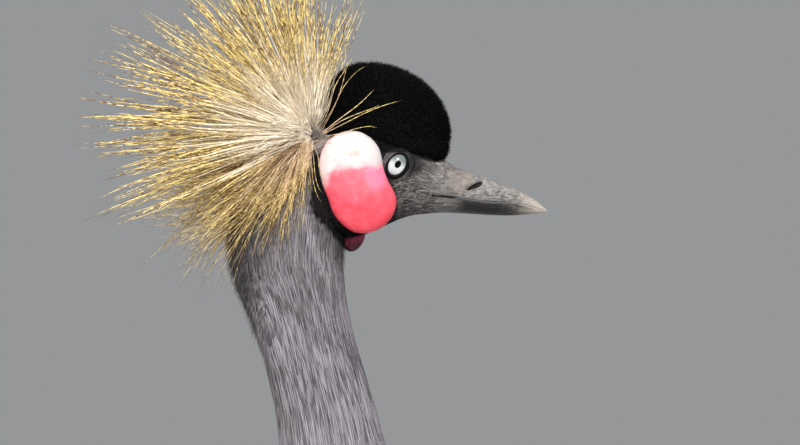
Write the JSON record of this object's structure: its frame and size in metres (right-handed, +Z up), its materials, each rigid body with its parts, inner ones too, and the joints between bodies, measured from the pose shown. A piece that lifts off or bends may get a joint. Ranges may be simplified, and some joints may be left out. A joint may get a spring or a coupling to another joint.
{
  "type": "black crowned crane model",
  "caption": "Life-size standing crane model: stiff golden crest, velvet cap, bare two-tone cheeks, short bill, streaked neck, folded wings and long legs.",
  "frame": {"origin": "on the ground, under the middle of the bird's bounding box", "axes": "+Z up; the bird faces +X, so its right side is at -Y and its left side at +Y"},
  "size_m": [0.6175, 0.2154, 1.0709],
  "materials": {
    "slate_plumage": "matt overlapping body feathers",
    "neck_plumage": "matt, finely streaked narrow feathers",
    "velvet_cap": "dense velvet",
    "bill_horn": "satin horn with a paler tip",
    "cheek_skin": "fine-grained bare skin, white above and red below",
    "wattle_skin": "folded bare skin",
    "eye": "polished",
    "straw_bristles": "stiff straw, dark at the tips",
    "white_feathers": "matt",
    "chestnut_feathers": "matt, loose-edged",
    "black_feathers": "matt with a slight sheen",
    "leg_scales": "scaled, satin",
    "claw_horn": "polished horn"
  },
  "bodies": {
    "root": {"torso": "slate_plumage", "neck_lower": "neck_plumage", "neck_upper": "neck_plumage", "head": "neck_plumage", "cap": "velvet_cap", "bill_upper": "bill_horn", "bill_lower": "bill_horn", "eye_left": "eye", "eye_right": "eye", "cheek_left": "cheek_skin", "cheek_right": "cheek_skin", "wattle": "wattle_skin", "crest": "straw_bristles", "tail": "black_feathers", "wing_left": "white_feathers", "secondaries_left": "chestnut_feathers", "primaries_left": "black_feathers", "plumes_left": "straw_bristles", "thigh_left": "slate_plumage", "shank_left": "leg_scales", "tarsus_left": "leg_scales", "foot_left": "leg_scales", "claw_inner_left": "claw_horn", "claw_middle_left": "claw_horn", "claw_outer_left": "claw_horn", "claw_hind_left": "claw_horn", "wing_right": "white_feathers", "secondaries_right": "chestnut_feathers", "primaries_right": "black_feathers", "plumes_right": "straw_bristles", "thigh_right": "slate_plumage", "shank_right": "leg_scales", "tarsus_right": "leg_scales", "foot_right": "leg_scales", "claw_inner_right": "claw_horn", "claw_middle_right": "claw_horn", "claw_outer_right": "claw_horn", "claw_hind_right": "claw_horn"}
  },
  "joints": []
}
